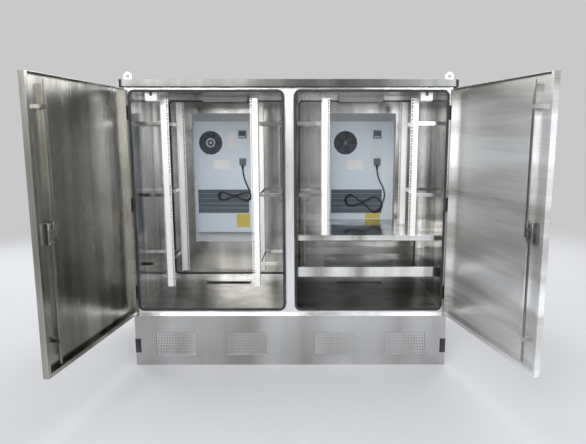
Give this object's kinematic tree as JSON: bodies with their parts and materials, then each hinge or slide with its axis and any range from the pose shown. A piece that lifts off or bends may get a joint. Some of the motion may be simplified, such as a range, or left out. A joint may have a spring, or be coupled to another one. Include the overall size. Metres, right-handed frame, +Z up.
{
  "type": "roadside utility cabinet",
  "caption": "Free-standing stainless steel roadside cabinet with two rack bays, two open front doors and two rear doors that each carry an air conditioner under a mesh hood.",
  "frame": {"origin": "on the ground, in the middle of the plinth and of its anchor bolts", "axes": "+Z up, -Y towards the open front doors, +X to the right as seen from the front"},
  "size_m": [2.077, 1.9744, 1.619],
  "materials": {
    "stainless_sheet": "brushed",
    "perforated_sheet": "perforated",
    "zinc_rail": "bright zinc",
    "mesh_wire": "woven wire",
    "steel_parts": "satin",
    "chrome_lever": "polished",
    "black_hinge": "satin black",
    "black_lock": "satin black",
    "black_handle": "blue black",
    "black_rubber": "matte",
    "cooler_casing": "satin paint",
    "fan_plastic": "matte",
    "lead_rubber": "satin",
    "lamp_plastic": "matte"
  },
  "bodies": {
    "cabinet": {"plinth": "stainless_sheet", "plinth_vents": "perforated_sheet", "corner_plugs": "black_rubber", "floor_panel": "stainless_sheet", "body_wrapper": "stainless_sheet", "partition": "stainless_sheet", "front_frame": "stainless_sheet", "rear_frame": "stainless_sheet", "door_seals": "black_rubber", "roof": "stainless_sheet", "lifting_eyes": "stainless_sheet", "hinge_brackets": "black_hinge", "rack_rails": "zinc_rail", "rail_supports": "zinc_rail", "shelves": "stainless_sheet", "lamps": "lamp_plastic"},
    "front_left_door": {"front_left_door": "stainless_sheet", "front_left_lock_case": "black_lock", "front_left_handle_plate": "black_handle"},
    "front_left_handle": {"front_left_spindle": "steel_parts"},
    "front_left_lever": {"front_left_lever": "chrome_lever"},
    "front_left_upper_rod": {"front_left_upper_rod": "steel_parts"},
    "front_left_lower_rod": {"front_left_lower_rod": "steel_parts"},
    "front_right_door": {"front_right_door": "stainless_sheet", "front_right_lock_case": "black_lock", "front_right_handle_plate": "black_handle"},
    "front_right_handle": {"front_right_spindle": "steel_parts"},
    "front_right_lever": {"front_right_lever": "chrome_lever"},
    "front_right_upper_rod": {"front_right_upper_rod": "steel_parts"},
    "front_right_lower_rod": {"front_right_lower_rod": "steel_parts"},
    "rear_left_door": {"rear_left_door": "stainless_sheet", "rear_left_lock_case": "black_lock", "rear_left_handle_box": "stainless_sheet", "rear_left_hood": "stainless_sheet", "rear_left_grilles": "mesh_wire", "rear_left_cooler": "cooler_casing", "rear_left_power_lead": "lead_rubber", "rear_left_lead_hank": "lead_rubber"},
    "rear_left_handle": {"rear_left_spindle": "steel_parts"},
    "rear_left_lever": {"rear_left_lever": "chrome_lever"},
    "rear_left_upper_rod": {"rear_left_upper_rod": "steel_parts"},
    "rear_left_lower_rod": {"rear_left_lower_rod": "steel_parts"},
    "rear_left_cover_flap": {"rear_left_cover_flap": "stainless_sheet"},
    "rear_left_inner_fan": {"rear_left_inner_fan": "fan_plastic"},
    "rear_left_outer_fan": {"rear_left_outer_fan": "fan_plastic"},
    "rear_right_door": {"rear_right_door": "stainless_sheet", "rear_right_lock_case": "black_lock", "rear_right_handle_box": "stainless_sheet", "rear_right_hood": "stainless_sheet", "rear_right_grilles": "mesh_wire", "rear_right_cooler": "cooler_casing", "rear_right_power_lead": "lead_rubber", "rear_right_lead_hank": "lead_rubber"},
    "rear_right_handle": {"rear_right_spindle": "steel_parts"},
    "rear_right_lever": {"rear_right_lever": "chrome_lever"},
    "rear_right_upper_rod": {"rear_right_upper_rod": "steel_parts"},
    "rear_right_lower_rod": {"rear_right_lower_rod": "steel_parts"},
    "rear_right_cover_flap": {"rear_right_cover_flap": "stainless_sheet"},
    "rear_right_inner_fan": {"rear_right_inner_fan": "fan_plastic"},
    "rear_right_outer_fan": {"rear_right_outer_fan": "fan_plastic"}
  },
  "joints": [
    {"name": "front_left_door_hinge", "type": "hinge", "parent": "cabinet", "child": "front_left_door", "pos_m": [-0.868, -0.405, 0.9135], "axis": [0, 0, -1], "range_deg": [-96.7, 18.3]},
    {"name": "front_left_handle_turn", "type": "hinge", "parent": "front_left_door", "child": "front_left_handle", "pos_m": [-0.99324, -1.17968, 0.89], "axis": [0.9932, -0.1167, 0], "range_deg": [0, 90]},
    {"name": "front_left_lever_lift", "type": "hinge", "parent": "front_left_handle", "child": "front_left_lever", "pos_m": [-0.99324, -1.17968, 0.89], "axis": [0.1167, 0.9932, 0], "range_deg": [0, 67.5]},
    {"name": "front_left_upper_rod_slide", "type": "slide", "parent": "front_left_door", "child": "front_left_upper_rod", "axis": [0, 0, 1], "range_m": [0, 0.02404]},
    {"name": "front_left_lower_rod_slide", "type": "slide", "parent": "front_left_door", "child": "front_left_lower_rod", "axis": [0, 0, -1], "range_m": [0, 0.02404]},
    {"name": "front_right_door_hinge", "type": "hinge", "parent": "cabinet", "child": "front_right_door", "pos_m": [0.868, -0.405, 0.9135], "axis": [0, 0, 1], "range_deg": [-102.2, 12.8]},
    {"name": "front_right_handle_turn", "type": "hinge", "parent": "front_right_door", "child": "front_right_handle", "pos_m": [1.06691, -1.16411, 0.89], "axis": [0.9774, 0.2113, 0], "range_deg": [0, 90]},
    {"name": "front_right_lever_lift", "type": "hinge", "parent": "front_right_handle", "child": "front_right_lever", "pos_m": [1.06691, -1.16411, 0.89], "axis": [0.2113, -0.9774, 0], "range_deg": [0, 67.5]},
    {"name": "front_right_upper_rod_slide", "type": "slide", "parent": "front_right_door", "child": "front_right_upper_rod", "axis": [0, 0, 1], "range_m": [0, 0.02404]},
    {"name": "front_right_lower_rod_slide", "type": "slide", "parent": "front_right_door", "child": "front_right_lower_rod", "axis": [0, 0, -1], "range_m": [0, 0.02404]},
    {"name": "rear_left_door_hinge", "type": "hinge", "parent": "cabinet", "child": "rear_left_door", "pos_m": [-0.868, 0.405, 0.9135], "axis": [0, 0, 1], "range_deg": [0, 115]},
    {"name": "rear_left_handle_turn", "type": "hinge", "parent": "rear_left_door", "child": "rear_left_handle", "pos_m": [-0.084, 0.439, 0.89], "axis": [0, 1, 0], "range_deg": [0, 90]},
    {"name": "rear_left_lever_lift", "type": "hinge", "parent": "rear_left_handle", "child": "rear_left_lever", "pos_m": [-0.084, 0.439, 0.89], "axis": [1, 0, 0], "range_deg": [0, 67.5]},
    {"name": "rear_left_upper_rod_slide", "type": "slide", "parent": "rear_left_door", "child": "rear_left_upper_rod", "axis": [0, 0, 1], "range_m": [0, 0.02404]},
    {"name": "rear_left_lower_rod_slide", "type": "slide", "parent": "rear_left_door", "child": "rear_left_lower_rod", "axis": [0, 0, -1], "range_m": [0, 0.02404]},
    {"name": "rear_left_cover_flap_hinge", "type": "hinge", "parent": "rear_left_door", "child": "rear_left_cover_flap", "pos_m": [-0.084, 0.482, 0.684], "axis": [-1, 0, 0], "range_deg": [-140, 0]},
    {"name": "rear_left_inner_fan_spin", "type": "hinge", "parent": "rear_left_door", "child": "rear_left_inner_fan", "pos_m": [-0.554, 0.355, 1.241], "axis": [0, 1, 0], "continuous": true},
    {"name": "rear_left_outer_fan_spin", "type": "hinge", "parent": "rear_left_door", "child": "rear_left_outer_fan", "pos_m": [-0.344, 0.5, 0.776], "axis": [0, 1, 0], "continuous": true},
    {"name": "rear_right_door_hinge", "type": "hinge", "parent": "cabinet", "child": "rear_right_door", "pos_m": [0.868, 0.405, 0.9135], "axis": [0, 0, -1], "range_deg": [0, 115]},
    {"name": "rear_right_handle_turn", "type": "hinge", "parent": "rear_right_door", "child": "rear_right_handle", "pos_m": [0.084, 0.439, 0.89], "axis": [0, -1, 0], "range_deg": [0, 90]},
    {"name": "rear_right_lever_lift", "type": "hinge", "parent": "rear_right_handle", "child": "rear_right_lever", "pos_m": [0.084, 0.439, 0.89], "axis": [1, 0, 0], "range_deg": [0, 67.5]},
    {"name": "rear_right_upper_rod_slide", "type": "slide", "parent": "rear_right_door", "child": "rear_right_upper_rod", "axis": [0, 0, 1], "range_m": [0, 0.02404]},
    {"name": "rear_right_lower_rod_slide", "type": "slide", "parent": "rear_right_door", "child": "rear_right_lower_rod", "axis": [0, 0, -1], "range_m": [0, 0.02404]},
    {"name": "rear_right_cover_flap_hinge", "type": "hinge", "parent": "rear_right_door", "child": "rear_right_cover_flap", "pos_m": [0.084, 0.482, 0.684], "axis": [-1, 0, 0], "range_deg": [-140, 0]},
    {"name": "rear_right_inner_fan_spin", "type": "hinge", "parent": "rear_right_door", "child": "rear_right_inner_fan", "pos_m": [0.346, 0.355, 1.241], "axis": [0, 1, 0], "continuous": true},
    {"name": "rear_right_outer_fan_spin", "type": "hinge", "parent": "rear_right_door", "child": "rear_right_outer_fan", "pos_m": [0.556, 0.5, 0.776], "axis": [0, 1, 0], "continuous": true}
  ],
  "couplings": [
    {"joint": "front_left_lever_lift", "follows": "front_left_handle_turn", "ratio": 0.75},
    {"joint": "front_left_upper_rod_slide", "follows": "front_left_handle_turn", "m_per_rad": 0.0153},
    {"joint": "front_left_lower_rod_slide", "follows": "front_left_handle_turn", "m_per_rad": 0.0153},
    {"joint": "front_right_lever_lift", "follows": "front_right_handle_turn", "ratio": 0.75},
    {"joint": "front_right_upper_rod_slide", "follows": "front_right_handle_turn", "m_per_rad": 0.0153},
    {"joint": "front_right_lower_rod_slide", "follows": "front_right_handle_turn", "m_per_rad": 0.0153},
    {"joint": "rear_left_lever_lift", "follows": "rear_left_handle_turn", "ratio": 0.75},
    {"joint": "rear_left_upper_rod_slide", "follows": "rear_left_handle_turn", "m_per_rad": 0.0153},
    {"joint": "rear_left_lower_rod_slide", "follows": "rear_left_handle_turn", "m_per_rad": 0.0153},
    {"joint": "rear_right_lever_lift", "follows": "rear_right_handle_turn", "ratio": 0.75},
    {"joint": "rear_right_upper_rod_slide", "follows": "rear_right_handle_turn", "m_per_rad": 0.0153},
    {"joint": "rear_right_lower_rod_slide", "follows": "rear_right_handle_turn", "m_per_rad": 0.0153}
  ]
}
